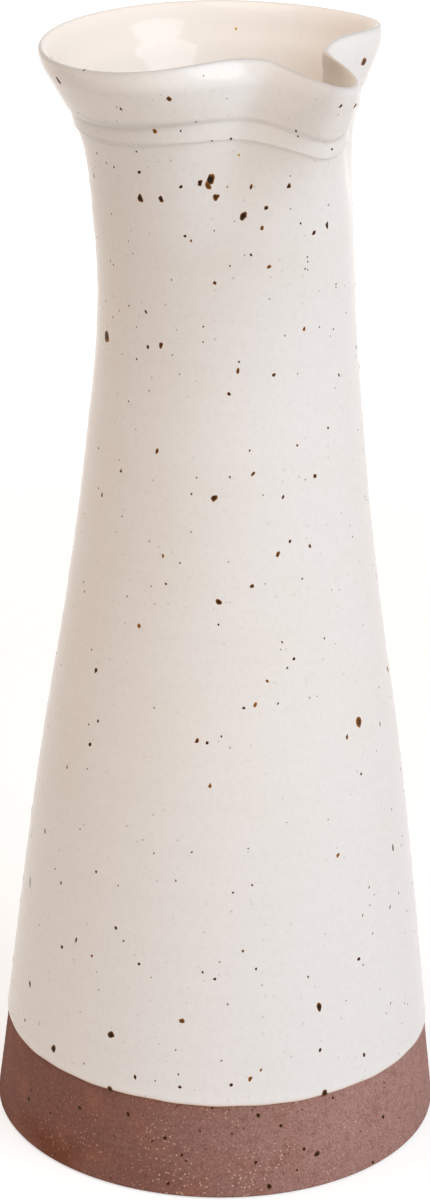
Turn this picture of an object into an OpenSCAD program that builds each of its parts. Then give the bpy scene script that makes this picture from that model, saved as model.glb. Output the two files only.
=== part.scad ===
// Wheel-thrown stoneware carafe with a turned band and a pinched pouring lip.
// One clay vessel carries two fired coats: a glaze dipped from the mouth down to a
// bare clay foot, and a liner glaze poured through the inside.
// Millimetres, +Z up, the spout along +X, the origin in the middle of the foot.

/* [Body] */
// Diameter of the bare foot where it stands
foot_d = 102; // [88:0.5:120]
// Height of the straight lower wall, from the foot to the shoulder
lower_h = 95; // [75:1:120]
// Diameter at the shoulder, where the wall starts to draw in
shoulder_d = 79; // [72:0.5:88]
// Height from the shoulder to the waist
shoulder_h = 30; // [20:1:45]
// Diameter at the waist
waist_d = 69.7; // [64:0.1:76]
// Height from the waist to the throat
waist_h = 35; // [25:1:50]
// Diameter at the throat
throat_d = 61.1; // [57:0.1:66]
// Height from the throat to the narrowest part of the neck
throat_h = 52; // [40:1:70]
// Diameter of the neck at its narrowest
neck_d = 55.4; // [50:0.1:60]

/* [Mouth] */
// Height from the neck to the middle of the flare
neck_h = 24; // [18:1:34]
// Diameter at the middle of the flare
flare_d = 61.4; // [57:0.1:68]
// Height from the middle of the flare to the crest of the lip
flare_h = 15.8; // [11:0.1:24]
// Diameter of the lip at its widest, before the spout is pulled
rim_d = 75; // [68:0.2:88]
// Angle of the flared wall under the lip, from the vertical
lip_flare = 26; // [10:1:40]
// Sideways set of the mouth from the axis of the foot
mouth_shift = 4.2; // [0:0.1:8]
// Angle at which the mouth dips towards that side
mouth_tilt = 1.3; // [0:0.1:4]

/* [Spout] */
// Depth below the crest at which the pulled spout fades into the neck
pull_h = 75; // [55:1:95]
// How far the tip is pulled out
spout_reach = 15.1; // [10:0.1:22]
// Half angle of the spout at its tip
spout_half = 10.2; // [8:0.2:16]
// Extra half angle of the spout where it fades into the neck
spout_spread = 46.5; // [20:0.5:60]
// How far the tip is bent down
tip_drop = 3.5; // [0:0.1:6]
// Half angle of the stretch that is bent down
tip_half = 11; // [8:0.5:20]
// Share of its thickness that the wall loses at the tip
tip_thinning = 0.48; // [0:0.02:0.6]
// Half angle of the stretch that is thinned
thinning_half = 38; // [20:1:60]
// Depth of the two finger dents beside the spout
dent_depth = 9.6; // [4:0.2:14]
// Angle from the spout to the middle of each dent
dent_angle = 25.6; // [18:0.2:32]
// Half angle of a dent at the lip
dent_half = 28; // [20:0.5:34]
// Extra half angle of a dent where it fades into the neck
dent_spread = 8; // [0:0.5:24]
// How far the lip is pushed up beside the dents
lip_rise = 3.6; // [0:0.1:6]
// Angle from the spout to the highest part of the lip
rise_angle = 37; // [28:1:55]
// Half angle of that rise
rise_half = 41.5; // [25:0.5:50]
// How far the thumb has rolled the lip inwards beside one dent
roll_depth = 2.3; // [0:0.1:3]
// How far the rolled lip is lowered
roll_drop = 0.8; // [0:0.1:1.5]
// Angle from the spout to the middle of the roll
roll_angle = 44; // [30:1:60]
// Half angle of the roll
roll_half = 21; // [14:0.5:30]
// Share of that roll on the lip beside the other dent
far_roll = 0.3; // [0:0.05:1]
// Angle from the spout to the middle of the other roll
far_roll_angle = 56; // [30:1:70]

/* [Wall] */
// Thickness of the clay wall at the foot
wall_foot = 6; // [4:0.1:9]
// Thickness of the clay wall at the neck
wall_neck = 3.6; // [3:0.1:5]
// Thickness of the clay where the lip starts to taper
lip_t = 2.2; // [1.4:0.1:3]
// Length over which the lip tapers to its crest
lip_taper = 4.6; // [2:0.1:6]
// Height of the inside floor above the standing plane
floor_t = 8; // [6:0.5:12]
// Radius between the inside floor and the wall
inner_fillet = 10; // [4:0.5:16]

/* [Band] */
// Depth of the lower edge of the turned band under the crest of the lip
band_depth = 16.5; // [15:0.1:20]
// Height of the band
band_w = 3.4; // [2:0.1:5]
// How far the lower edge of the band stands proud
band_proud = 0.42; // [0:0.02:1.2]
// How far the upper edge of the band is tucked in under the flare
band_tuck = 0.5; // [0:0.02:1]
// Height over which the flare steps in to the band
upper_edge = 1.3; // [0.6:0.1:2]
// Height over which the lower edge falls back to the neck
lower_edge = 0.5; // [0.3:0.1:1.2]

/* [Foot] */
// Width of the standing ring
foot_ring_w = 9; // [6:0.5:16]
// Depth of the turned recess inside the ring
foot_recess = 2.5; // [1:0.1:4]
// Bevel around the outside of the foot
foot_bevel = 0.6; // [0.4:0.1:3]

/* [Glaze] */
// Thickness of each fired coat
glaze_t = 0.4; // [0.3:0.05:0.8]
// Height of the dip line above the standing plane
dip_z = 22.3; // [12:0.1:60]
// Angle of the dip line to the standing plane
dip_tilt = 0.7; // [0:0.1:3]
// Direction in which the dip line falls, from the spout
dip_turn = 52; // [0:1:360]

/* [Hidden] */
$fn = 96;

clay_colour = "#96705f";
cream_colour = "#efe9e1";
liner_colour = "#f2e6d8";

// Heights of the profile's stations, stacked from the foot up
shoulder_z = lower_h;
waist_z = shoulder_z + shoulder_h;
throat_z = waist_z + waist_h;
neck_z = throat_z + throat_h;
flare_z = neck_z + neck_h;
crest_z = flare_z + flare_h;

// The lip is half an ellipse that stands on the end of the flared wall and leans out with it
lip_half = lip_t / 2;
lip_across = lip_half * cos(lip_flare);
lip_bulge = norm([lip_taper * sin(lip_flare), lip_across]) - lip_across;
lip_base_z = crest_z - lip_taper * cos(lip_flare) - lip_half * sin(lip_flare);
lip_base_r = rim_d / 2 - lip_bulge;

// The outer line of the clay: a smooth curve through the stations up to the lip
station_z = [0, shoulder_z, waist_z, throat_z, neck_z, flare_z, lip_base_z];
station_r = [foot_d / 2, shoulder_d / 2, waist_d / 2, throat_d / 2, neck_d / 2, flare_d / 2,
             lip_base_r];
last_station = len(station_z) - 1;
lower_lean = atan((foot_d - shoulder_d) / 2 / lower_h);

// The pulled mouth is lofted above the seam and turned below it
seam_z = crest_z - pull_h;
tongue_h = 0.6;
tongue_seat = 0.05;
columns = 60;
column_crowd = 34;
widest_facet = (360 + column_crowd * 2 * PI) / columns;
slant_limit = 1.9;
probe_h = 0.05;
probe_turn = 0.5;
turned_rows = 30;
neck_rows = 9;
flare_rows = 3;
inside_rows = 9;
lip_row_gap = 1.2;
fillet_steps = 8;
lip_steps = 4;
band_steps = 4;

band_foot_z = crest_z - band_depth;
band_top_z = band_foot_z + band_w;
dip_slack = 1;
dip_start_z = dip_z - foot_d / 2 * tan(dip_tilt) - dip_slack;
cut_size = 2 * foot_d;

function lerp(a, b, t) = a + (b - a) * t;
function clamp01(t) = max(0, min(1, t));
function ease(t) = let (u = clamp01(t)) u * u * (3 - 2 * u);
function bell(x, half, power = 2) = exp(-pow(abs(x) / half, power));
function near_turn(a) = a > 180 ? a - 360 : a;
function reversed(list) = [for (i = [len(list) - 1:-1:0]) list[i]];
function steps(from, to, count) = [for (i = [0:count]) lerp(from, to, i / count)];

// Smooth curve through the stations, with the slope at each from its two neighbours
function step_h(i) = station_z[i + 1] - station_z[i];
function chord(i) = (station_r[i + 1] - station_r[i]) / step_h(i);
function station_slope(i) =
    i == 0 ? chord(0)
    : i == last_station ? tan(lip_flare)
    : (chord(i - 1) * step_h(i) + chord(i) * step_h(i - 1)) / (step_h(i - 1) + step_h(i));
function station_below(z, i = 0) =
    i == last_station - 1 || z < station_z[i + 1] ? i : station_below(z, i + 1);
function clay_r(z) =
    let (i = station_below(z), h = step_h(i), u = (z - station_z[i]) / h, v = 1 - u)
    (1 + 2 * u) * v * v * station_r[i] + u * v * v * h * station_slope(i)
    + u * u * (3 - 2 * u) * station_r[i + 1] - u * u * v * h * station_slope(i + 1);
function clay_lean(z) = atan((clay_r(z + probe_h) - clay_r(z - probe_h)) / (2 * probe_h));

// Radius at a depth under the outside of the clay, measured square to the wall
function radius_at(z, depth) = clay_r(z) - depth / cos(clay_lean(z));
function wall_t(z) =
    z < neck_z ? lerp(wall_foot, wall_neck, z / neck_z)
    : lerp(wall_neck, lip_t, clamp01((z - neck_z) / (lip_base_z - neck_z)));

// Relief of the turned band over the plain wall, from its proud lower edge to its tucked upper one
function band_relief(z) =
    lerp(band_proud, -band_tuck, clamp01((z - band_foot_z) / band_w))
    * ease(1 + (z - band_foot_z) / lower_edge) * ease(1 - (z - band_top_z) / upper_edge);

// How far the pull has grown at a height, from 0 at the seam to 1 at the crest
function pull_at(z) = clamp01((z - seam_z) / pull_h);

// Powers by which each part of the pull gathers towards the lip
shift_power = 1.4;
spout_power = 1.8;
dent_power = 3.6;
roll_power = 14;
tip_bluntness = 2.9;

// Outward swell of the wall: the pulled spout, less a finger dent on either side and the rolls
function rolled(t, a) =
    let (turn = near_turn(a), far = far_roll * bell(turn - far_roll_angle, roll_half))
    pow(t, roll_power) * (bell(turn + roll_angle, roll_half) + far);
function swell(t, a) =
    let (turn = near_turn(a), wide = spout_half + spout_spread * (1 - t),
         dent = dent_half + dent_spread * (1 - t))
    pow(t, spout_power) * spout_reach * bell(turn, wide, tip_bluntness)
    - pow(t, dent_power) * dent_depth * (bell(turn - dent_angle, dent) + bell(turn + dent_angle, dent))
    - roll_depth * rolled(t, a);
function lift(t, a) =
    let (turn = near_turn(a))
    ease(t) * (lip_rise * (bell(turn - rise_angle, rise_half) + bell(turn + rise_angle, rise_half))
               - tip_drop * bell(turn, tip_half))
    - roll_drop * rolled(t, a);

// A wall that runs askew to the radius is cut longer along it, so its true thickness holds
function slant(r, t, a) =
    let (growth = (swell(t, a + probe_turn) - swell(t, a - probe_turn)) / (2 * probe_turn) * 180 / PI,
         askew = growth / (r + swell(t, a)))
    min(slant_limit, sqrt(1 + askew * askew));

// Share of the thickness that is left where the spout is drawn thin
function thinned(t, a) = 1 - tip_thinning * t * t * bell(near_turn(a), thinning_half);

// A station of the mouth's section is [radius of the outside, height, depth along the radius]
function wall_station(z, depth, relief = 0) = [clay_r(z) + relief, z, depth / cos(clay_lean(z))];
function lip_station(a, skin) =
    let (rise = (lip_taper + skin / 2) * sin(a), across = lip_half - (lip_half + skin) * cos(a))
    [lip_base_r + rise * sin(lip_flare),
     lip_base_z + rise * cos(lip_flare) + across * sin(lip_flare), across * cos(lip_flare)];
function pulled_point(station, a) =
    let (t = pull_at(station[1]), depth = station[2] * slant(station[0], t, a) * thinned(t, a),
         r = station[0] + swell(t, a) - depth, x = r * cos(a), y = r * sin(a))
    [x, y - pow(t, shift_power) * mouth_shift, station[1] + lift(t, a) + ease(t) * tan(mouth_tilt) * y];

// Rows of the mouth's section, from just above the seam to the lip
neck_top_z = band_foot_z - lower_edge;
flare_start_z = band_top_z + upper_edge;
flare_end_z = lip_base_z - lip_row_gap;
outside_z = concat(
    [for (i = [1:neck_rows]) lerp(seam_z, neck_top_z, i / neck_rows)],
    [band_foot_z, band_foot_z + band_w / 2],
    [for (i = [0:band_steps - 1]) band_top_z + i / band_steps * upper_edge],
    steps(flare_start_z, flare_end_z, flare_rows - 1));
inside_z = [for (i = [1:inside_rows]) lerp(seam_z, flare_end_z, i / inside_rows)];

function tongue_out(depth) =
    let (z = seam_z - tongue_h) [radius_at(z, depth) - tongue_seat, z, 0];
function tongue_in(depth) =
    let (z = seam_z - tongue_h) [radius_at(z, depth) / cos(widest_facet / 2) + tongue_seat, z, 0];
function outside_skin(skin) = [for (z = outside_z) wall_station(z, -skin, band_relief(z))];
function inside_skin(skin) = [for (z = inside_z) wall_station(z, wall_t(z) + skin)];
function outside_lip(skin) =
    [for (a = steps(0, 90, lip_steps)) lip_station(a, skin)];
function inside_lip(skin) =
    [for (a = steps(180, 90, lip_steps - 1)) lip_station(a, skin)];

// Closed loft of a section around the mouth, its columns crowded towards the spout
module pulled_mouth(rising, falling) {
    section = concat(rising, falling);
    count = len(section);
    turn = [for (j = [0:columns - 1]) 360 * j / columns - column_crowd * sin(360 * j / columns)];
    points = [for (a = turn) for (station = section) pulled_point(station, a)];
    function corner(j, i) = (j % columns) * count + i % count;
    faces = [
        for (j = [0:columns - 1]) for (i = [0:count - 1])
            let (a = corner(j, i), b = corner(j + 1, i), c = corner(j + 1, i + 1), d = corner(j, i + 1))
            each i < len(rising) ? [[a, d, c], [a, c, b]] : [[a, d, b], [b, d, c]]
    ];
    polyhedron(points, faces, convexity = 6);
}

// Half section of the turned inside, from the middle of the floor up to the seam
function turned_inside(skin) =
    let (r = inner_fillet - skin, z = floor_t + inner_fillet,
         start_z = z + inner_fillet * sin(lower_lean),
         x = radius_at(start_z, wall_t(start_z)) - inner_fillet * cos(lower_lean))
    concat(
        [[0, floor_t + skin]],
        [for (a = steps(-90, lower_lean, fillet_steps)) [x + r * cos(a), z + r * sin(a)]],
        [for (i = [1:turned_rows]) let (row = lerp(start_z, seam_z, i / turned_rows))
            [radius_at(row, wall_t(row) + skin), row]]);
function turned_outside(from, skin) =
    [for (z = steps(from, seam_z, turned_rows)) [radius_at(z, -skin), z]];

// Thrown clay vessel: foot ring, floor, wall, band, flared mouth and pulled lip
module stoneware_body() {
    ring_r = foot_d / 2 - foot_ring_w;
    color(clay_colour) union() {
        rotate_extrude() polygon(concat(
            [[0, foot_recess], [ring_r - foot_recess, foot_recess], [ring_r, 0],
             [foot_d / 2 - foot_bevel, 0]],
            turned_outside(foot_bevel, 0),
            reversed(turned_inside(0))));
        pulled_mouth(
            concat([tongue_out(0)], outside_skin(0), outside_lip(0)),
            concat(reversed(inside_lip(0)), reversed(inside_skin(0)), [tongue_in(wall_t(seam_z))]));
    }
}

// Outer coat, dipped from the mouth and cut off along the dip line above the bare foot
module outer_glaze() {
    color(cream_colour) union() {
        difference() {
            rotate_extrude() polygon(concat(
                turned_outside(dip_start_z, glaze_t),
                reversed(turned_outside(dip_start_z, 0))));
            translate([0, 0, dip_z]) rotate([0, 0, dip_turn]) rotate([0, dip_tilt, 0])
                translate([-cut_size / 2, -cut_size / 2, -cut_size]) cube(cut_size);
        }
        pulled_mouth(
            concat([tongue_out(-glaze_t)], outside_skin(glaze_t), outside_lip(glaze_t)),
            concat(reversed(outside_lip(0)), reversed(outside_skin(0)), [tongue_in(0)]));
    }
}

// Liner coat, from the crest of the lip down the inside and over the floor
module liner_glaze() {
    color(liner_colour) union() {
        rotate_extrude() polygon(concat(turned_inside(0), reversed(turned_inside(glaze_t))));
        pulled_mouth(
            concat([tongue_out(wall_t(seam_z))], inside_skin(0), inside_lip(0)),
            concat(reversed(inside_lip(glaze_t)), reversed(inside_skin(glaze_t)),
                   [tongue_in(wall_t(seam_z) + glaze_t)]));
    }
}

stoneware_body();
outer_glaze();
liner_glaze();
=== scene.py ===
import math
import random

import bpy
import numpy as np
from mathutils import Matrix, Vector
from mathutils.bvhtree import BVHTree


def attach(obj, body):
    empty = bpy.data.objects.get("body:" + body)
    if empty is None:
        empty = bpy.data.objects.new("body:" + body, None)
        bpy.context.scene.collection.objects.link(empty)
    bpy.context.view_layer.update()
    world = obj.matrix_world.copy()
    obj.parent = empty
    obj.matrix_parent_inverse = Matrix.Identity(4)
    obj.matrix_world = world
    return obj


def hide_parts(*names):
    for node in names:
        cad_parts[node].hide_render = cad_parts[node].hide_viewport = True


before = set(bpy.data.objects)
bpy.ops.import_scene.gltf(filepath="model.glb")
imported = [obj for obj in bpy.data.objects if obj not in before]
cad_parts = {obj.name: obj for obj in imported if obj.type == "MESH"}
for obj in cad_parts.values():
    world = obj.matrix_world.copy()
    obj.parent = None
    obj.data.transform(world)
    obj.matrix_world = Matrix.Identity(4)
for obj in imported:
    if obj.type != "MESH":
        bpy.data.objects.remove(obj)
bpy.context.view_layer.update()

# Stoneware body: the vessel, one piece of red-brown stoneware, thrown on the wheel and left bare at
# its turned foot, with a turned band under the flared mouth and a spout pulled out between two finger
# dents. Sizes are in millimetres, and turns round the pot in degrees off the spout.
MM = 0.001
foot_d = 102.0
shoulder_z, shoulder_d = 95.0, 79.0
waist_z, waist_d = 125.0, 69.7
throat_z, throat_d = 160.0, 61.1
neck_z, neck_d = 212.0, 55.4
flare_z, flare_d = 236.0, 61.4
crest_z, rim_d = 251.8, 75.0
lip_flare = math.radians(26.0)
lip_t, lip_taper = 2.2, 4.6
rim_r = rim_d / 2

mouth_shift, shift_power = 4.2, 1.4
mouth_tilt = math.radians(1.3)
pull_h = 75.0
seam_z = crest_z - pull_h
spout_reach, spout_half, spout_spread = 15.1, 10.2, 46.5
spout_power, tip_bluntness = 1.8, 2.9
spout_thinning, thinning_half = 0.48, 38.0
tip_drop, tip_half = 3.5, 11.0
dent_depth, dent_angle, dent_half, dent_spread, dent_power = 9.6, 25.6, 28.0, 8.0, 3.6
roll_depth, roll_drop, roll_h = 1.8, 0.55, 6.0
roll_angle, roll_half, roll_breadth = 55.0, 35.0, 6.0
far_roll, far_roll_angle, far_roll_half = 0.30, 56.0, 21.0
lip_rise, rise_angle, rise_half = 3.6, 37.0, 41.5
slant_limit = 1.9

wall_foot, wall_neck = 6.0, 3.6
throat_swell, swell_z, swell_half = 0.48, 244.0, 3.5
floor_t, inner_fillet = 8.0, 10.0
band_foot_z, band_w = 235.3, 3.4
band_proud, band_tuck = 0.42, 0.50
lower_edge, upper_edge = 0.5, 1.3
foot_ring_w, foot_recess, foot_bevel = 9.0, 2.5, 0.6
foot_wear, pole_r = 0.25, 1.5
turning_depth, turning_rate = 0.035, 3.3
chatter_share, chatter_rate, chatter_phase = 0.7, 7.7, 1.0
dip_z, under_coat = 22.3, 4.0
bare_step, hidden_step, band_step = 0.45, 4.0, 0.25
band_margin, lip_margin = 2.0, 0.7
# The clay is paler towards this turn, the key lamp's side, and darker away from it: partly kiln flashing,
# partly painted light and shade.
lit_side_turn = math.radians(52.0)
shaded_clay, flashed_and_lit_clay = (0.255, 0.121, 0.099, 1), (0.452, 0.263, 0.229, 1)
low_dark_clay, warm_clay = (0.205, 0.072, 0.040, 1), (0.360, 0.162, 0.108, 1)
mottled_clay, dark_grit = (0.150, 0.070, 0.056, 1), (0.130, 0.055, 0.042, 1)
fine_grog, coarse_grog = (0.720, 0.500, 0.370, 1), (0.780, 0.580, 0.450, 1)
dry_iron = (0.020, 0.011, 0.010, 1)
clay_gloss = 0.12

columns = 288
column_crowd = 34.0
whole_turn = np.linspace(0.0, 360.0, columns, endpoint=False)
turn = (whole_turn - column_crowd * np.sin(np.radians(whole_turn)))[None, :]

lip_out = math.hypot(lip_taper * math.sin(lip_flare), lip_t / 2 * math.cos(lip_flare))
lip_base_z = crest_z - lip_taper * math.cos(lip_flare) - lip_t / 2 * math.sin(lip_flare)
lip_base_r = rim_r - lip_out + lip_t / 2 * math.cos(lip_flare)
station_z = np.array([0, shoulder_z, waist_z, throat_z, neck_z, flare_z, lip_base_z])
station_r = np.array([foot_d / 2, shoulder_d / 2, waist_d / 2, throat_d / 2, neck_d / 2, flare_d / 2,
                      lip_base_r])
station_step = np.diff(station_z)
station_chord = np.diff(station_r) / station_step
inner_slope = ((station_chord[:-1] * station_step[1:] + station_chord[1:] * station_step[:-1])
               / (station_step[:-1] + station_step[1:]))
station_slope = np.concatenate([station_chord[:1], inner_slope, [math.tan(lip_flare)]])


def clay_radius(z):
    """Outer radius of the plain turned wall: a smooth curve through the stations."""
    i = np.clip(np.searchsorted(station_z, z, side="right") - 1, 0, len(station_step) - 1)
    h = station_step[i]
    u = (z - station_z[i]) / h
    v = 1 - u
    return ((1 + 2 * u) * v * v * station_r[i] + u * v * v * h * station_slope[i]
            + u * u * (3 - 2 * u) * station_r[i + 1] - u * u * v * h * station_slope[i + 1])


def wall_slope(z, probe=0.05):
    """How much longer a depth square to the wall is when it is measured along the radius."""
    lean = (clay_radius(z + probe) - clay_radius(z - probe)) / (2 * probe)
    return np.sqrt(1 + lean * lean)


def bell(x, half, power=2.0):
    """1 in the middle, falling away on both sides over the half width; a higher power is blunter."""
    return np.exp(-np.abs(x / half) ** power)


def eased(t):
    """A share from 0 to 1 that starts and ends gently."""
    return t * t * (3 - 2 * t)


def off_spout(angle):
    """A turn in degrees, counted from -180 to 180 off the spout."""
    return (angle + 180) % 360 - 180


def wall_thickness(z):
    """Thickness of the clay, thinning from the foot to the neck and to the lip, with a slight swell."""
    plain = np.interp(z, [0, neck_z, lip_base_z], [wall_foot, wall_neck, lip_t])
    return plain + throat_swell * bell(z - swell_z, swell_half)


def band_relief(z):
    """The turned band over the plain wall: tucked in under the flare and proud at its lower edge."""
    face = band_proud - (band_proud + band_tuck) * np.clip((z - band_foot_z) / band_w, 0, 1)
    lower = eased(np.clip(1 + (z - band_foot_z) / lower_edge, 0, 1))
    upper = eased(np.clip(1 - (z - band_foot_z - band_w) / upper_edge, 0, 1))
    return face * lower * upper


def lip_roll(pull, near):
    """How far the lip is rolled over beside the dents, from 0 below to 1 at its crest."""
    beside = bell(near + roll_angle, roll_half, roll_breadth)
    rolled_in = eased(np.clip(1 - (1 - pull) * pull_h / roll_h, 0, 1))
    return rolled_in * (beside + far_roll * bell(near - far_roll_angle, far_roll_half))


def swell(pull, angle):
    """Outward swell of the wall: the pulled spout, less the finger dents and the rolled lip."""
    near = off_spout(angle)
    dent = dent_half + dent_spread * (1 - pull)
    spout = bell(near, spout_half + spout_spread * (1 - pull), tip_bluntness)
    dents = bell(near - dent_angle, dent) + bell(near + dent_angle, dent)
    inward = pull ** dent_power * dent_depth * dents + roll_depth * lip_roll(pull, near)
    return pull ** spout_power * spout_reach * spout - inward


def shaped(radius, z, depth, probe=0.5):
    """Rings of points in metres: wall rows at a depth under the outside, with the mouth pulled."""
    pull = np.clip((z - seam_z) / pull_h, 0, 1)
    near = off_spout(turn)
    out = swell(pull, turn)
    growth = (swell(pull, turn + probe) - swell(pull, turn - probe)) / math.radians(2 * probe)
    slant = np.minimum(slant_limit, np.sqrt(1 + (growth / (radius + out)) ** 2))
    thinning = 1 - spout_thinning * pull * pull * bell(near, thinning_half)
    r = radius + out - slant * thinning * depth
    x = r * np.cos(np.radians(turn))
    y = r * np.sin(np.radians(turn))
    crests = bell(near - rise_angle, rise_half) + bell(near + rise_angle, rise_half)
    lift = lip_rise * crests - tip_drop * bell(near, tip_half) + math.tan(mouth_tilt) * y
    y = y - pull ** shift_power * mouth_shift
    return np.stack([x, y, z + eased(pull) * lift - roll_drop * lip_roll(pull, near)], -1) * MM


def wall_rows(z, depth, relief=0.0):
    """Rows of a wall section at a depth square to the outside: radius, height, depth along it."""
    return clay_radius(z) + relief, z, depth * wall_slope(z)


def lip_rows(angles, side_skin=0.0, crest_skin=0.0):
    """Rows over the lip, which tapers to its crest as half an ellipse, with a skin over the clay."""
    half, reach = lip_t / 2 + side_skin, lip_taper + crest_skin
    rise = reach * np.sin(angles)
    swollen = throat_swell * bell(lip_base_z + rise * math.cos(lip_flare) - swell_z, swell_half)
    across = half * np.cos(angles) - swollen * np.clip(-np.cos(angles), 0, 1)
    radius = lip_base_r + rise * math.sin(lip_flare)
    z = lip_base_z + rise * math.cos(lip_flare) + (lip_t / 2 - across) * math.sin(lip_flare)
    return radius, z, (lip_t / 2 - across) * math.cos(lip_flare)


def plain_rows(outline):
    """Rows of the turned foot or floor, straight from an outline of radius and height."""
    outline = np.asarray(outline)
    return outline[:, 0], outline[:, 1], np.zeros(len(outline))


def softened(corners, setback, steps=4):
    """An outline whose inner corners are worn round, each over a short setback."""
    corners = [np.asarray(corner, float) for corner in corners]
    outline = [corners[0]]
    for before, corner, after in zip(corners, corners[1:], corners[2:]):
        start = corner + (before - corner) * setback / np.linalg.norm(before - corner)
        end = corner + (after - corner) * setback / np.linalg.norm(after - corner)
        for t in np.linspace(0, 1, steps + 1):
            outline.append((1 - t) ** 2 * start + 2 * t * (1 - t) * corner + t * t * end)
    return outline + [corners[-1]]


def floor_outline(skin, fillet_rows=14, floor_rows=12):
    """Inside floor and the fillet up to the wall, at a skin's thickness over the clay."""
    lean = math.atan(-station_slope[0])
    start_z = floor_t + inner_fillet + inner_fillet * math.sin(lean)
    middle_r = (clay_radius(start_z) - wall_thickness(start_z) * wall_slope(start_z)
                - inner_fillet * math.cos(lean))
    bend = [(middle_r + (inner_fillet - skin) * math.cos(a),
             floor_t + inner_fillet + (inner_fillet - skin) * math.sin(a))
            for a in np.linspace(-math.pi / 2, lean, fillet_rows)]
    flat = [(r, floor_t + skin) for r in np.linspace(pole_r, bend[0][0], floor_rows)[:-1]]
    return flat + bend, start_z


def smooth_piece(name, points, faces):
    """A smooth mesh piece, from points in metres and the faces between them."""
    mesh = bpy.data.meshes.new(name)
    mesh.from_pydata(points, [], faces)
    mesh.polygons.foreach_set("use_smooth", np.ones(len(mesh.polygons), bool))
    mesh.update()
    piece = bpy.data.objects.new(name, mesh)
    bpy.context.scene.collection.objects.link(piece)
    return piece


def spun_mesh(name, rings, poles):
    """Closed mesh through a stack of rings: gathered to a pole at both ends, or joined end to end."""
    rows, across = rings.shape[:2]
    grid = np.arange(rows * across).reshape(rows, across)
    beside = np.roll(grid, -1, axis=1)
    last = rows - 1 if poles else rows
    upper, upper_beside = np.roll(grid, -1, axis=0), np.roll(beside, -1, axis=0)
    quads = np.stack([grid, beside, upper_beside, upper], -1)[:last].reshape(-1, 4).tolist()
    points = rings.reshape(-1, 3)
    if poles:
        first_pole, last_pole = len(points), len(points) + 1
        points = np.vstack([points, rings[0].mean(axis=0), rings[-1].mean(axis=0)])
        quads += [[first_pole, b, a] for a, b in zip(grid[0].tolist(), beside[0].tolist())]
        quads += [[last_pole, a, b] for a, b in zip(grid[-1].tolist(), beside[-1].tolist())]
    return smooth_piece(name, points.tolist(), quads)


def stack(*sections):
    """Joins sections of rows into one radius, height and depth list, each as wide as the turn."""
    def full(rows):
        rows = np.asarray(rows, float)
        return np.broadcast_to(rows.reshape(len(rows), -1), (len(rows), columns))
    return [np.concatenate([full(rows) for rows in part]) for part in zip(*sections)]


def new_finish(name):
    """A new node material, its nodes and its surface shader."""
    material = bpy.data.materials.new(name)
    material.use_nodes = True
    return material, material.node_tree, material.node_tree.nodes["Principled BSDF"]


def feed(tree, socket, value):
    """Sets a socket to a number or colour, or links it to another node's output."""
    if isinstance(value, bpy.types.NodeSocket):
        tree.links.new(value, socket)
    else:
        socket.default_value = value


def put(tree, kind, settings=None, **sockets):
    """A shader node, with its sockets set to numbers or linked to other nodes' outputs."""
    node = tree.nodes.new(kind)
    for key, value in (settings or {}).items():
        setattr(node, key, value)
    for key, value in sockets.items():
        feed(tree, node.inputs[key.replace("_", " ")], value)
    return node


def noise(tree, place, scale, detail, roughness=0.5):
    """Cloudy noise through the stuff, finer as the scale grows."""
    return put(tree, "ShaderNodeTexNoise", Vector=place, Scale=scale, Detail=detail,
               Roughness=roughness).outputs["Fac"]


def tinted(tree, amount, under, over):
    """One colour laid over another by an amount from 0 to 1."""
    mix = put(tree, "ShaderNodeMix", {"data_type": "RGBA"})
    for index, value in ((0, amount), (6, under), (7, over)):
        feed(tree, mix.inputs[index], value)
    return mix.outputs[2]


def faded(tree, value, start, end, low=0.0, high=1.0):
    """A smooth step from low at start to high at end."""
    return put(tree, "ShaderNodeMapRange", {"interpolation_type": "SMOOTHSTEP"}, Value=value,
               From_Min=start, From_Max=end, To_Min=low, To_Max=high).outputs[0]


def reckoned(tree, operation, a, b):
    """One number worked out from two, such as their product or the larger of them."""
    node = put(tree, "ShaderNodeMath", {"operation": operation})
    for socket, value in zip(node.inputs, (a, b)):
        feed(tree, socket, value)
    return node.outputs[0]


def times(tree, a, b):
    """One mask held within another."""
    return reckoned(tree, "MULTIPLY", a, b)


def flecks(tree, place, scale, reach, feather):
    """Grains scattered through the stuff: a mask of their spots, and a random number for each."""
    cells = put(tree, "ShaderNodeTexVoronoi", Vector=place, Scale=scale)
    mask = faded(tree, cells.outputs["Distance"], reach, reach * (1 - feather))
    chance = put(tree, "ShaderNodeSeparateColor", Color=cells.outputs["Color"]).outputs[0]
    return mask, chance


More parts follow.
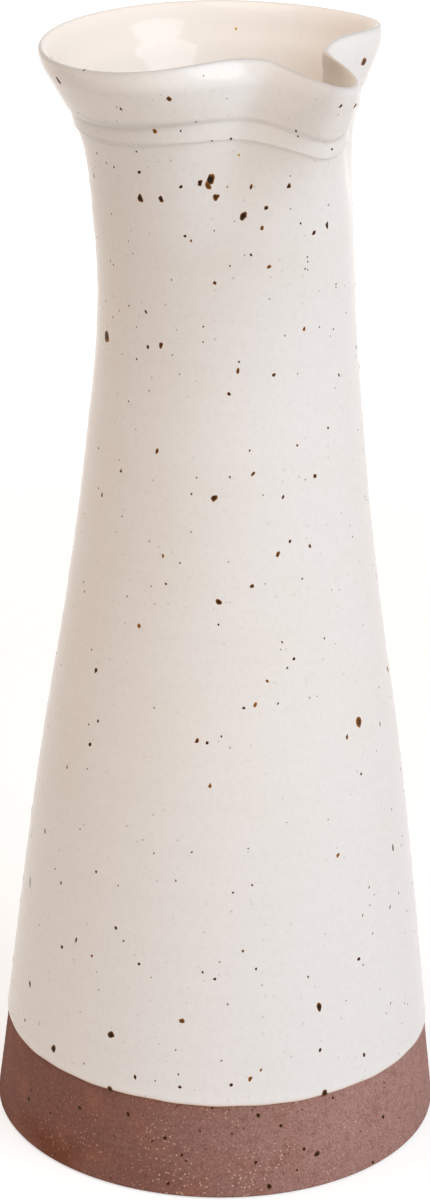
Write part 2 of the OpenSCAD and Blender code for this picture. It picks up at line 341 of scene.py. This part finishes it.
def bare_stoneware():
    """Unglazed clay: paler towards the key lamp, partly kiln flashing and partly painted light and shade,
    darker low down on the shaded side, softly blotched, with pale grog in sandy patches and dark iron
    grains."""
    material, tree, surface = new_finish("bare_stoneware")
    place = put(tree, "ShaderNodeTexCoord").outputs["Object"]
    height = put(tree, "ShaderNodeSeparateXYZ", Vector=place).outputs["Z"]
    to_lit_side = put(tree, "ShaderNodeVectorMath", {"operation": "DOT_PRODUCT"}, Vector=place)
    to_lit_side.inputs[1].default_value = (math.cos(lit_side_turn), math.sin(lit_side_turn), 0)
    across = to_lit_side.outputs["Value"]
    cloud = noise(tree, place, 38.0, 3.0)
    blotch = noise(tree, place, 105.0, 4.0)
    sand = noise(tree, place, 75.0, 2.0)
    mottle = noise(tree, place, 420.0, 5.0, 0.65)
    grit = noise(tree, place, 2400.0, 3.0)

    # Paler towards the key lamp, darker away from it: partly kiln flashing, partly painted light and
    # shade.
    colour = tinted(tree, faded(tree, across, -0.034, 0.038), shaded_clay, flashed_and_lit_clay)
    # Darker and browner low down on the side away from the key lamp.
    low_darkening = times(tree, faded(tree, across, 0.002, -0.034, 0.1, 1.0),
                   faded(tree, height, 0.011, 0.003, 0.12, 1.0))
    colour = tinted(tree, times(tree, low_darkening, faded(tree, cloud, 0.30, 0.60)), colour, low_dark_clay)
    # Warm blotches, stronger on the side away from the key lamp: partly painted warm shade.
    warmed_towards_shade = times(tree, faded(tree, blotch, 0.46, 0.66), faded(tree, across, 0.036, 0.004, 0.12, 0.5))
    colour = tinted(tree, warmed_towards_shade, colour, warm_clay)
    colour = tinted(tree, faded(tree, mottle, 0.48, 0.72, 0.0, 0.35), colour, mottled_clay)
    colour = tinted(tree, faded(tree, grit, 0.40, 0.70, 0.0, 0.50), colour, dark_grit)

    sandy = times(tree, faded(tree, sand, 0.40, 0.58, 0.25, 1.0),
                  faded(tree, height, 0.018, 0.004, 0.6, 1.0))
    sandy = times(tree, sandy, faded(tree, across, 0.046, 0.022, 0.3, 1.0))
    sandy = times(tree, sandy, faded(tree, across, -0.040, -0.012, 0.30, 1.0))
    for grog, scale, reach, feather, rare, common in ((fine_grog, 1150.0, 0.32, 0.55, 0.10, 0.65),
                                                      (coarse_grog, 760.0, 0.17, 0.6, 0.40, 0.80)):
        spots, chance = flecks(tree, place, scale, reach, feather)
        shown = times(tree, spots, times(tree, sandy, faded(tree, chance, rare, common)))
        colour = tinted(tree, shown, colour, grog)
    spots, chance = flecks(tree, place, 420.0, 0.10, 0.35)
    colour = tinted(tree, times(tree, spots, faded(tree, chance, 0.4, 0.7)), colour, dry_iron)

    feed(tree, surface.inputs["Base Color"], colour)
    feed(tree, surface.inputs["Roughness"], faded(tree, grit, 0.3, 0.7, 0.75, 0.92))
    surface.inputs["Specular IOR Level"].default_value = clay_gloss
    bump = put(tree, "ShaderNodeBump", Height=grit, Strength=0.3, Distance=0.0002)
    feed(tree, surface.inputs["Normal"], bump.outputs["Normal"])
    return material


ring_r = foot_d / 2 - foot_ring_w
underside = softened([(pole_r, foot_recess), (ring_r - foot_recess, foot_recess), (ring_r, 0),
                      (foot_d / 2 - foot_bevel, 0), (clay_radius(foot_bevel), foot_bevel),
                      (clay_radius(2 * foot_bevel), 2 * foot_bevel)], foot_wear)
bare_z = np.arange(2.5 * foot_bevel, dip_z + under_coat, bare_step)
chatter = chatter_share * np.sin(bare_z * chatter_rate + chatter_phase)
turning = turning_depth * (np.sin(bare_z * turning_rate) + chatter)
band_start_z, band_top_z = band_foot_z - band_margin, band_foot_z + band_w + band_margin
flare_top_z = lip_base_z - lip_margin
hidden_z = np.concatenate([np.arange(bare_z[-1] + hidden_step, band_start_z, hidden_step),
                           np.arange(band_start_z, band_top_z, band_step),
                           np.linspace(band_top_z, flare_top_z, 6)])
inside_floor, inside_start_z = floor_outline(0.0)
inside_z = np.linspace(flare_top_z, inside_start_z, 52)[:-1]
over_lip = np.linspace(0, math.pi, 15)
clay = spun_mesh("stoneware_body_finish", shaped(*stack(
    plain_rows(underside),
    wall_rows(bare_z, 0.0, turning),
    wall_rows(hidden_z, 0.0, band_relief(hidden_z)),
    lip_rows(over_lip),
    wall_rows(inside_z, wall_thickness(inside_z)),
    plain_rows(inside_floor[::-1]))), poles=True)
clay.data.materials.append(bare_stoneware())
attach(clay, "root")
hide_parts("stoneware_body")

# Outer glaze: a satin cream coat, fused to the clay in the kiln. The pot is held by its foot and
# dipped mouth first, so the coat ends in a rolled edge along the dip line, and it thins to grey over
# the lip; the grey beside the band is partly thin glaze and partly painted shade in its grooves.
dip_tilt = math.radians(0.7)
dip_turn = math.radians(52.0)
# Wander of the dip line: height, waves round the pot and phase.
dip_wander = ((0.10, 5, 0.6), (0.07, 13, 2.0), (0.05, 31, 0.0))
settle_z = 45.0
glaze_t, crest_glaze, seat = 0.4, 0.2, 0.03
edge_round, edge_bead, bead_above, bead_half = 0.45, 0.15, 1.0, 0.7
edge_rows = np.array([0, 0.05, 0.13, 0.25, 0.42, 0.65, 0.95, 1.35, 1.9, 2.7, 3.8])
coat_start, coat_step, coat_band_step = 5.2, 1.6, 0.12
ring_depth, ring_rate = 0.035, 1.17
slow_share, slow_rate, slow_phase = 0.6, 0.53, 1.3
cream, thin_glaze = (0.862, 0.835, 0.805, 1), (0.455, 0.445, 0.440, 1)
warm_cast, thick_cast = (0.995, 0.985, 0.965, 1), (0.997, 1.010, 1.030, 1)
grain_tint, sunken_iron = (0.560, 0.520, 0.480, 1), (0.330, 0.290, 0.240, 1)
iron_dust, clay_blush = (0.045, 0.028, 0.016, 1), (0.780, 0.560, 0.400, 1)
# The thin grey shows over the crest; in the band's grooves the grey is partly thin glaze and partly
# painted shade, left out beside the near dent.
crest_tint, crest_half = 0.75, 0.32
under_tint, under_gap, under_gap_half = 0.6, 25, 45
over_tint, over_gap, over_gap_half = 0.5, 22, 30
blush_tint, blush_half = 0.8, 0.45
# The lip is smoother: its roughness falls to this share over the top of the flare.
lip_polish, polish_depth, polish_rise = 0.5, 7, 6


def dip_line():
    """Height of the dip line round the pot: a tilted plane with the small wander of a hand dip."""
    around = np.radians(turn)
    line = dip_z - math.tan(dip_tilt) * foot_d / 2 * np.cos(around - dip_turn)
    for height, waves, phase in dip_wander:
        line = line + height * np.sin(waves * around + phase)
    return line


def throwing_marks(z):
    """Faint rings that the fingers leave as the wall is drawn up."""
    return ring_depth * (np.sin(z * ring_rate) + slow_share * np.sin(z * slow_rate + slow_phase))


def from_dip(heights):
    """Rows that follow the dip line at the bottom and lie level from the settled height up."""
    line = dip_line()
    share = np.clip((heights - dip_z) / (settle_z - dip_z), 0, 1)[:, None]
    low = line + share * (settle_z - line)
    return np.where(heights[:, None] < settle_z, low, heights[:, None])


def marked(piece, name, values):
    """Stores one number for each point of a piece, for its finish to read."""
    layer = piece.data.attributes.new(name, "FLOAT", "POINT")
    spread = np.zeros(len(piece.data.vertices))
    spread[:values.size] = values.ravel()
    layer.data.foreach_set("value", spread)


def stored(tree, name):
    """The number that a piece's points hold under a name, or 0 where they hold none."""
    return put(tree, "ShaderNodeAttribute", {"attribute_name": name}).outputs["Fac"]


def glaze_finish(name, body, roughness, gloss_wave, gloss, speckle):
    """Opaque stoneware glaze: clouded body colour, cooler where it is thick low down, with sunken iron
    specks, grey where it is thin and, as partly painted shade, in the band's grooves, and blushed along
    the dip line."""
    material, tree, surface = new_finish(name)
    place = put(tree, "ShaderNodeTexCoord").outputs["Object"]
    height = put(tree, "ShaderNodeSeparateXYZ", Vector=place).outputs["Z"]
    cloud = noise(tree, place, 48.0, 4.0)
    grain = noise(tree, place, 900.0, 3.0, 0.6)
    peel = noise(tree, place, 260.0, 2.0)

    warm, thick = ([c * k for c, k in zip(body, cast)] for cast in (warm_cast, thick_cast))
    colour = tinted(tree, faded(tree, cloud, 0.40, 0.72), body, warm)
    colour = tinted(tree, faded(tree, height, 0.120, 0.030), colour, thick)
    colour = tinted(tree, faded(tree, grain, 0.42, 0.72, 0.0, 0.12 * speckle), colour, grain_tint)
    for scale, reach, strength in ((330.0, 0.14, 0.6), (470.0, 0.19, 0.35), (210.0, 0.075, 0.6)):
        spots, chance = flecks(tree, place, scale, reach, 0.8)
        shown = times(tree, spots, faded(tree, chance, 0.55, 1.0, 0.0, strength * speckle))
        colour = tinted(tree, shown, colour, sunken_iron)
    spots, chance = flecks(tree, place, 215.0, 0.050, 0.4)
    shown = times(tree, spots, faded(tree, chance, 0.4, 0.7, 0.0, speckle))
    colour = tinted(tree, shown, colour, iron_dust)
    # Grey over the thin crest, and in the band's grooves partly painted shade.
    colour = tinted(tree, stored(tree, "thin"), colour, thin_glaze)
    colour = tinted(tree, stored(tree, "blush"), colour, clay_blush)

    feed(tree, surface.inputs["Base Color"], colour)
    uneven = faded(tree, peel, 0.3, 0.7, roughness - gloss_wave, roughness + gloss_wave)
    polish = faded(tree, stored(tree, "polish"), 0.0, 1.0, 1.0, lip_polish)
    feed(tree, surface.inputs["Roughness"], times(tree, uneven, polish))
    surface.inputs["Specular IOR Level"].default_value = gloss
    bump = put(tree, "ShaderNodeBump", Height=peel, Strength=0.02, Distance=0.0005)
    feed(tree, surface.inputs["Normal"], bump.outputs["Normal"])
    return material


coat_z = np.concatenate([dip_z + edge_rows,
                         np.arange(dip_z + coat_start, band_start_z, coat_step),
                         np.arange(band_start_z, band_top_z, coat_band_step),
                         np.linspace(band_top_z, flare_top_z, 11)])
above = coat_z - dip_z
roll = np.sqrt(np.clip(1 - (1 - np.clip(above / edge_round, 0.002, 1)) ** 2, 0, 1))
thickness = glaze_t * roll * (1 + edge_bead * bell(above - bead_above, bead_half))
rising_lip = np.linspace(0, math.pi / 2, 14)
backing_z = np.concatenate([hidden_z[::-1], [dip_z + 3, dip_z]])
outer_rows = from_dip(coat_z)
backing_rows = from_dip(backing_z)
coat_r = clay_radius(outer_rows) + (band_relief(coat_z) + throwing_marks(coat_z) * roll)[:, None]
backing_r = clay_radius(backing_rows) + band_relief(backing_z)[:, None]
coat = spun_mesh("outer_glaze_finish", shaped(*stack(
    (coat_r, outer_rows, -thickness[:, None] * wall_slope(outer_rows)),
    lip_rows(rising_lip, glaze_t, crest_glaze),
    lip_rows(rising_lip[::-1], -seat, -seat),
    (backing_r, backing_rows, seat * wall_slope(backing_rows)))), poles=False)
near = off_spout(turn)
# Grey in the band's grooves: partly thin glaze, partly painted shade, weaker beside the near dent.
under_band = bell(coat_z - band_foot_z + 0.6 * lower_edge, lower_edge)[:, None]
over_band = bell(coat_z - band_foot_z - band_w - 0.4 * upper_edge, 0.7 * upper_edge)[:, None]
groove_shade_and_thinning = (under_band * under_tint * (1 - bell(near + under_gap, under_gap_half))
              + over_band * over_tint * (1 - bell(near + over_gap, over_gap_half)))
over_crest = crest_tint * bell(rising_lip - math.pi / 2, crest_half)
marked(coat, "thin", np.vstack([groove_shade_and_thinning, np.repeat(over_crest[:, None], columns, axis=1)]))
polished = np.concatenate([eased(np.clip((coat_z - flare_top_z + polish_depth) / polish_rise, 0, 1)),
                           np.ones(len(rising_lip))])
marked(coat, "polish", np.repeat(polished, columns))
marked(coat, "blush", np.repeat(blush_tint * bell(above, blush_half), columns))
coat.data.materials.append(
    glaze_finish("cream_glaze", cream, roughness=0.19, gloss_wave=0.03, gloss=0.17, speckle=0.8))
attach(coat, "root")
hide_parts("outer_glaze")

# Liner glaze: a glossier coat of the same glaze, poured in, swilled round and poured out, so that it
# covers the inside from the crest of the lip down over the floor. Its colour is painted warmer than the
# outer coat, as painted warm light bounced round inside the mouth.
liner_cream_painted_warm = (0.868, 0.820, 0.768, 1)
liner_z = np.concatenate([np.linspace(flare_top_z, seam_z, 50),
                          np.linspace(seam_z, inside_start_z, 70)[1:-1]])
falling_lip = np.linspace(math.pi / 2, math.pi, 14)
liner_floor = floor_outline(glaze_t)[0]
liner = spun_mesh("liner_glaze_finish", shaped(*stack(
    plain_rows(floor_outline(-seat)[0]),
    wall_rows(inside_z[::-1], wall_thickness(inside_z[::-1]) - seat),
    lip_rows(falling_lip[::-1], -seat, -seat),
    lip_rows(falling_lip, glaze_t, crest_glaze),
    wall_rows(liner_z, wall_thickness(liner_z) + glaze_t),
    plain_rows(liner_floor[::-1]))), poles=True)
backing_count = len(inside_floor) + len(inside_z) + len(falling_lip)
over_crest = crest_tint * bell(falling_lip - math.pi / 2, crest_half)
marked(liner, "thin", np.repeat(np.concatenate([np.zeros(backing_count), over_crest]), columns))
liner.data.materials.append(
    glaze_finish("liner_glaze", liner_cream_painted_warm, roughness=0.065, gloss_wave=0.015, gloss=0.17, speckle=0.2))
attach(liner, "root")
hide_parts("liner_glaze")

# Camera: the photograph's view, through a long lens a little above the mouth, looking down across
# the spout. The image is 430 by 1200 pixels, distances are in metres, and angles are in degrees,
# turned from the spout.
image_w, image_h = 430, 1200
focal_pixels = 3844.6
camera_turn, camera_distance, camera_height = -38.0, 0.800, 0.44556
camera_pitch, camera_roll, camera_yaw = 21.891, 0.889, -0.129
sensor = 36.0

lens = bpy.data.cameras.new("photo_camera")
lens.sensor_fit = "VERTICAL"
lens.sensor_height = sensor
lens.lens = focal_pixels * sensor / image_h
camera = bpy.data.objects.new("photo_camera", lens)
bpy.context.scene.collection.objects.link(camera)
stand = Vector((camera_distance * math.cos(math.radians(camera_turn)),
                camera_distance * math.sin(math.radians(camera_turn)), camera_height))
camera.matrix_world = (Matrix.Translation(stand)
                       @ Matrix.Rotation(math.radians(90 + camera_turn - camera_yaw), 4, "Z")
                       @ Matrix.Rotation(math.radians(90 - camera_pitch), 4, "X")
                       @ Matrix.Rotation(math.radians(camera_roll), 4, "Z"))
bpy.context.scene.camera = camera

# Iron spots: grains of iron in the clay that melt and bleed up through the coat as small dark
# blisters with a rusty fringe, each a thin lens seated in the glaze. Those in front stand where the
# photograph shows them, and the rest are scattered over the sides and the back.
back_spot_count, small_front_count = 150, 150
back_arc, front_arc = (82, 278), (-80, 80)
spot_zone = (dip_z + 2, crest_z - 8)
back_spot_w, back_spot_spread, small_spot_w = 0.38, 0.9, (0.22, 0.42)
scattered_stretch = (1.0, 1.8)
spot_rim, spot_lean, spot_ragged = 16, 0.7, 0.40
spot_proud, spot_sunk = 0.05, 0.05
# Each ring of a lens: its share of the half width, and its height as a share of spot_proud.
lens_rings = [(0.6, 0.75), (0.95, 0.45), (1.25, 0.12), (1.35, -0.6)]
core_rust, core_clear, fringe_start = 0.55, 0.35, 0.75
black_iron = np.array((0.010, 0.005, 0.003))
rust = np.array((0.560, 0.225, 0.042))
amber = np.array((0.620, 0.430, 0.070))
iron_brown = (0.110, 0.045, 0.015, 1)
iron_gloss = 0.12
draw = random.Random(7)
# Each spot: its pixel in the photograph, width in millimetres, stretch, and rustiness (2 is amber).
front_spots = [
    (58, 80, 1.15, 1.5, 0.2), (169, 99, 0.9, 1.2, 0.5), (121, 109, 0.55, 1.2, 0.2),
    (155, 131, 0.8, 1.3, 0.9), (364, 62, 1.6, 1.1, 0.5), (341, 106, 0.6, 1.4, 0.2),
    (355, 106, 0.9, 1.0, 0.2), (236, 29, 0.5, 1.2, 2.0), (139, 172, 0.65, 1.1, 0.1),
    (94, 176, 0.6, 2.6, 0.1), (140, 198, 1.2, 1.4, 0.2), (161, 199, 1.0, 1.5, 0.2),
    (181, 187, 0.6, 1.5, 0.3), (200, 183, 1.0, 1.5, 0.3), (211, 180, 1.7, 1.5, 0.3),
    (208, 186, 1.1, 1.4, 0.7), (216, 197, 1.1, 1.2, 0.5), (251, 187, 0.75, 1.9, 0.5),
    (289, 186, 0.75, 1.3, 0.4), (266, 208, 0.75, 1.2, 0.3), (243, 216, 1.35, 1.3, 0.3),
    (262, 228, 0.75, 1.3, 0.7), (327, 225, 1.0, 2.0, 0.1), (314, 233, 0.8, 1.2, 0.3),
    (185, 236, 0.5, 1.2, 0.3), (191, 241, 0.5, 1.4, 0.8), (251, 255, 0.5, 1.3, 0.2),
    (269, 267, 0.65, 1.1, 0.8), (215, 283, 0.65, 1.1, 0.5), (146, 312, 0.55, 1.7, 0.4),
    (107, 336, 2.1, 1.1, 0.4), (148, 347, 0.65, 1.2, 0.2), (161, 345, 1.0, 1.6, 0.5),
    (304, 329, 0.65, 1.6, 0.8), (356, 347, 0.75, 2.6, 0.1), (238, 371, 0.85, 2.0, 0.6),
    (274, 375, 0.65, 1.2, 0.5), (339, 375, 0.55, 1.8, 0.1), (229, 394, 0.6, 1.3, 0.4),
    (328, 428, 0.5, 1.2, 0.1), (157, 451, 0.8, 2.4, 0.6), (121, 471, 0.6, 1.2, 0.1),
    (253, 474, 0.7, 1.7, 0.5), (315, 476, 0.75, 1.3, 0.4), (102, 495, 0.75, 1.8, 0.3),
    (214, 498, 1.15, 1.1, 0.4), (283, 497, 0.6, 1.6, 0.4), (163, 556, 0.6, 1.9, 0.8),
    (290, 541, 0.6, 1.1, 0.3), (310, 546, 0.65, 1.2, 0.4), (278, 554, 0.9, 1.7, 0.6),
    (252, 586, 0.75, 1.1, 0.5), (219, 602, 1.0, 1.4, 0.4), (166, 584, 0.5, 1.3, 0.6),
    (139, 626, 0.75, 1.1, 1.0), (282, 642, 0.5, 1.5, 0.3), (294, 659, 0.55, 1.1, 0.1),
    (96, 670, 0.85, 1.6, 0.1), (267, 681, 0.55, 1.6, 0.8), (255, 705, 0.8, 2.0, 1.0),
    (244, 708, 0.55, 1.0, 0.1), (359, 722, 1.6, 1.6, 0.6), (347, 737, 0.8, 1.4, 0.6),
    (380, 724, 0.7, 3.0, 0.1), (98, 721, 0.55, 1.3, 0.1), (90, 744, 0.75, 1.3, 0.2),
    (197, 741, 0.75, 1.4, 0.5), (207, 743, 0.65, 1.1, 0.3), (67, 767, 0.55, 1.8, 0.1),
    (210, 786, 0.75, 1.5, 0.9), (361, 774, 0.55, 1.2, 0.1), (45, 831, 0.7, 1.8, 0.1),
    (393, 848, 1.0, 3.0, 0.1), (338, 855, 0.75, 1.3, 0.9), (96, 872, 0.55, 1.1, 0.3),
    (61, 883, 0.55, 1.3, 0.1), (30, 883, 1.1, 3.0, 0.1), (390, 907, 0.6, 1.8, 0.1),
    (116, 928, 0.6, 1.1, 0.2), (76, 940, 0.7, 1.6, 0.2), (62, 947, 0.7, 1.2, 0.1),
    (92, 956, 0.55, 1.2, 0.8), (139, 964, 0.55, 1.1, 0.3), (243, 951, 0.5, 1.2, 0.7),
    (215, 979, 0.55, 1.2, 0.1), (256, 969, 0.5, 1.2, 0.2), (359, 959, 0.8, 1.2, 0.1),
    (30, 984, 1.0, 1.9, 0.1), (319, 1007, 1.3, 1.5, 0.1), (182, 1021, 1.0, 1.1, 0.7),
    (111, 1035, 1.35, 1.1, 0.2), (54, 1049, 1.4, 1.5, 0.2), (25, 1020, 0.6, 1.3, 0.1),
    (320, 1050, 0.75, 1.5, 0.2), (364, 1055, 0.75, 1.4, 0.3), (135, 1077, 0.7, 1.5, 0.2),
    (180, 1087, 0.6, 1.1, 0.1), (231, 1085, 0.65, 1.2, 0.2), (250, 1079, 0.85, 1.3, 0.8),
    (261, 1070, 0.6, 1.9, 0.9), (110, 1089, 1.1, 1.2, 0.1), (325, 1093, 1.2, 1.2, 0.1),
    (212, 141, 0.42, 1.0, 0.1), (231, 139, 0.42, 1.1, 0.1), (239, 155, 0.42, 1.3, 2.0),
    (332, 149, 0.45, 1.1, 0.1), (296, 131, 0.5, 1.2, 0.2), (114, 167, 0.45, 1.2, 0.1),
    (84, 70, 0.4, 1.2, 0.1), (196, 122, 0.35, 1.0, 0.1),
]

surfaces = [BVHTree.FromObject(piece, bpy.context.evaluated_depsgraph_get())
            for piece in (coat, liner, clay)]


def struck(start, direction):
    """Nearest point of the pot along a line of sight, and the way its surface faces there."""
    hits = [tree.ray_cast(start, direction) for tree in surfaces]
    return min((hit for hit in hits if hit[0] is not None), key=lambda hit: hit[3])[:2]


def sight(x, y):
    """Direction from the camera through a pixel of the photograph."""
    ray = Vector((x - image_w / 2, image_h / 2 - y, -focal_pixels)).normalized()
    return camera.matrix_world.to_3x3() @ ray


def struck_beside(around, z):
    """Point of the outside at a turn from the camera and a height, and the way it faces there."""
    around = math.radians(camera_turn + around)
    outside = Vector((math.cos(around), math.sin(around), 0)) * foot_d * MM
    return struck(outside + Vector((0, 0, z * MM)), -outside.normalized())


def iron_lens(points, faces, tints, middle, facing, width, stretch, rusty):
    """Adds one closed lens with a ragged rim: a dark crown that fades to rust at its fringe."""
    along = (Vector((0, 0, 1)) - facing * facing.z).normalized()
    across = along.cross(facing)
    lean = math.pi / 2 + draw.uniform(-spot_lean, spot_lean)
    ragged = [1 + draw.uniform(-spot_ragged, spot_ragged) for _ in range(spot_rim)]
    ragged = [(a + 2 * b + c) / 4
              for a, b, c in zip(ragged[-1:] + ragged, ragged, ragged[1:] + ragged[:1])]
    fringe = amber if rusty > 1 else rust
    core = black_iron + (fringe - black_iron) * core_rust * max(0.0, rusty - core_clear)
    start = len(points)
    half = width / 2 * MM
    for share, height in lens_rings:
        bleed = min(1.0, max(0.0, share - fringe_start) * 2)
        for k, bulge in enumerate(ragged):
            angle = 2 * math.pi * k / spot_rim
            u = math.cos(angle) * half * share * bulge * math.sqrt(stretch)
            v = math.sin(angle) * half * share * bulge / math.sqrt(stretch)
            spin = u * math.cos(lean) - v * math.sin(lean), u * math.sin(lean) + v * math.cos(lean)
            points.append(middle + across * spin[0] + along * spin[1] + facing * height * spot_proud * MM)
            tints.append(core + (fringe - core) * bleed * (0.4 + 0.6 * rusty))
    crown, root = len(points), len(points) + 1
    points += [middle + facing * spot_proud * MM, middle - facing * spot_sunk * MM]
    tints += [core, core]
    for k in range(spot_rim):
        after = (k + 1) % spot_rim
        faces.append((crown, start + k, start + after))
        for ring in range(start, start + spot_rim * (len(lens_rings) - 1), spot_rim):
            faces.append((ring + k, ring + spot_rim + k, ring + spot_rim + after, ring + after))
        outer = start + spot_rim * (len(lens_rings) - 1)
        faces.append((root, outer + after, outer + k))


def spots_piece(name, spots, finish):
    """One piece of many lenses, each given by its place, facing, width, stretch and rustiness."""
    points, faces, tints = [], [], []
    for spot in spots:
        iron_lens(points, faces, tints, *spot)
    piece = smooth_piece(name, points, faces)
    layer = piece.data.attributes.new("iron", "FLOAT_COLOR", "POINT")
    layer.data.foreach_set("color", np.c_[np.clip(tints, 0, 1), np.ones(len(tints))].ravel())
    piece.data.materials.append(finish)
    return piece


def melted_iron():
    """Glassy iron bleed: the crown's dark brown and the fringe's rust, mottled finely."""
    material, tree, surface = new_finish("melted_iron")
    place = put(tree, "ShaderNodeTexCoord").outputs["Object"]
    tint = put(tree, "ShaderNodeAttribute", {"attribute_name": "iron"}).outputs["Color"]
    mottle = noise(tree, place, 2600.0, 2.0)
    colour = tinted(tree, faded(tree, mottle, 0.5, 0.8, 0.0, 0.5), tint, iron_brown)
    feed(tree, surface.inputs["Base Color"], colour)
    feed(tree, surface.inputs["Roughness"], faded(tree, mottle, 0.3, 0.7, 0.35, 0.55))
    surface.inputs["Specular IOR Level"].default_value = iron_gloss
    return material


spots = []
for x, y, width, stretch, rusty in front_spots:
    middle, facing = struck(camera.location, sight(x, y))
    spots.append((middle, facing, width, stretch, rusty))
for number in range(back_spot_count + small_front_count):
    behind = number < back_spot_count
    around = draw.uniform(*(back_arc if behind else front_arc))
    middle, facing = struck_beside(around, draw.uniform(*spot_zone))
    if behind:
        width = back_spot_w + back_spot_spread * draw.random() ** 3
    else:
        width = draw.uniform(*small_spot_w)
    spots.append((middle, facing, width, draw.uniform(*scattered_stretch), draw.random() ** 2))
finish = melted_iron()
iron = spots_piece("iron_spots", spots, finish)
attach(iron, "root")

# Foot grains: the same iron where the clay is bare. The grains stay dry and dark, each a thin lens
# seated almost flush in the turned wall.
back_grain_count, back_grain_arc, back_grain_w = 36, (88, 272), (0.3, 0.7)
grain_zone, grain_stretch = (2, dip_z - 3), (1.0, 1.5)
# Each grain: its pixel in the photograph and its width in millimetres.
foot_grains = [
    (29, 1099, 1.05), (31, 1090, 0.65), (38, 1095, 0.55), (80, 1108, 0.9), (50, 1113, 0.7),
    (128, 1114, 0.85), (165, 1138, 0.85), (152, 1141, 0.55), (182, 1155, 0.6), (186, 1161, 0.45),
    (168, 1184, 0.9), (269, 1186, 1.0), (256, 1162, 0.8), (317, 1154, 1.1), (304, 1149, 0.65),
    (281, 1125, 0.85), (258, 1115, 0.9), (383, 1116, 1.05), (373, 1162, 0.75), (420, 1092, 0.45),
    (55, 1154, 0.5), (41, 1138, 0.5), (57, 1107, 0.4), (200, 1131, 0.4), (212, 1108, 0.5),
    (297, 1170, 0.45), (333, 1098, 0.5), (384, 1083, 0.5), (232, 1134, 0.45), (14, 1066, 0.45),
]

grains = []
for x, y, width in foot_grains:
    middle, facing = struck(camera.location, sight(x, y))
    grains.append((middle, facing, width, draw.uniform(*grain_stretch), 0.0))
for _ in range(back_grain_count):
    middle, facing = struck_beside(draw.uniform(*back_grain_arc), draw.uniform(*grain_zone))
    grains.append((middle, facing, draw.uniform(*back_grain_w), draw.uniform(*grain_stretch), 0.0))
foot_iron = spots_piece("foot_grains", grains, finish)
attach(foot_iron, "root")

# Floor and light: a plain white floor whose own glow grows away from the pot, so that the shadow
# stays, with a broad soft lamp on the camera's right, another over the mouth, and a low warm fill.
# Distances are in metres.
floor_half, floor_drop = 6.0, 0.0001
floor_colour, shown_floor = (0.88, 0.88, 0.88, 1), (0.42, 0.42, 0.42, 1)
floor_glow, far_glow = 0.66, 1.0
glow_start, glow_end = 0.25, 0.9
ambient_colour, ambient_strength = (1.0, 0.778, 0.623, 1), 0.434
white = (1, 1, 1, 1)


def seen_rays(tree):
    """1 for what the camera sees straight, in a reflection or through glass, and 0 for other light."""
    path = put(tree, "ShaderNodeLightPath").outputs
    total = path["Is Camera Ray"]
    for kind in ("Is Glossy Ray", "Is Transmission Ray"):
        total = reckoned(tree, "MAXIMUM", total, path[kind])
    return total


def shown_by(tree, lighting, seen, output):
    """Ends a tree in two looks: one for the light that it gives and one for what the camera sees."""
    choice = put(tree, "ShaderNodeMixShader")
    for socket, value in zip(choice.inputs, (seen_rays(tree), lighting.outputs[0], seen.outputs[0])):
        tree.links.new(value, socket)
    tree.links.new(choice.outputs[0], put(tree, output).inputs[0])


floor_mesh = bpy.data.meshes.new("studio_floor")
floor_mesh.from_pydata([(-floor_half, -floor_half, 0), (floor_half, -floor_half, 0),
                        (floor_half, floor_half, 0), (-floor_half, floor_half, 0)], [], [(0, 1, 2, 3)])
floor = bpy.data.objects.new("studio_floor", floor_mesh)
floor.location.z = -floor_drop
bpy.context.scene.collection.objects.link(floor)
sweep = bpy.data.materials.new("studio_sweep")
sweep.use_nodes = True
tree = sweep.node_tree
tree.nodes.clear()
matt = put(tree, "ShaderNodeBsdfDiffuse", Color=floor_colour)
shadowed = put(tree, "ShaderNodeBsdfDiffuse", Color=shown_floor)
place = put(tree, "ShaderNodeTexCoord").outputs["Object"]
away = put(tree, "ShaderNodeVectorMath", {"operation": "LENGTH"}, Vector=place).outputs["Value"]
glow = put(tree, "ShaderNodeEmission",
           Strength=faded(tree, away, glow_start, glow_end, floor_glow, far_glow))
shown = put(tree, "ShaderNodeAddShader")
tree.links.new(shadowed.outputs[0], shown.inputs[0])
tree.links.new(glow.outputs[0], shown.inputs[1])
shown_by(tree, matt, shown, "ShaderNodeOutputMaterial")
floor_mesh.materials.append(sweep)

world = bpy.data.worlds.new("studio")
world.use_nodes = True
bpy.context.scene.world = world
tree = world.node_tree
tree.nodes.clear()
ambient = put(tree, "ShaderNodeBackground", Color=ambient_colour, Strength=ambient_strength)
backdrop = put(tree, "ShaderNodeBackground", Color=white, Strength=1.0)
shown_by(tree, ambient, backdrop, "ShaderNodeOutputWorld")


def softbox(name, right_of_camera, elevation, distance, size, power, colour):
    """A rounded soft lamp that faces the neck, placed by its angles from the camera."""
    lamp = bpy.data.lights.new(name, "AREA")
    lamp.shape = "ELLIPSE"
    lamp.size, lamp.size_y = size
    lamp.energy = power
    lamp.color = colour
    around, up = math.radians(camera_turn + right_of_camera), math.radians(elevation)
    aim = Vector((0, 0, neck_z * MM))
    reach = Vector((math.cos(around) * math.cos(up), math.sin(around) * math.cos(up), math.sin(up)))
    holder = bpy.data.objects.new(name, lamp)
    holder.matrix_world = (Matrix.Translation(aim + reach * distance)
                           @ reach.to_track_quat("Z", "Y").to_matrix().to_4x4())
    bpy.context.scene.collection.objects.link(holder)


softbox("key_softbox", right_of_camera=48, elevation=38, distance=1.2, size=(1.08, 0.52), power=9.4,
        colour=(0.73, 0.867, 1.0))
softbox("mouth_softbox", right_of_camera=-65, elevation=74, distance=1.3, size=(0.90, 0.90), power=7.2,
        colour=(1.0, 0.91, 0.82))

bpy.context.scene.view_settings.view_transform = "Standard"
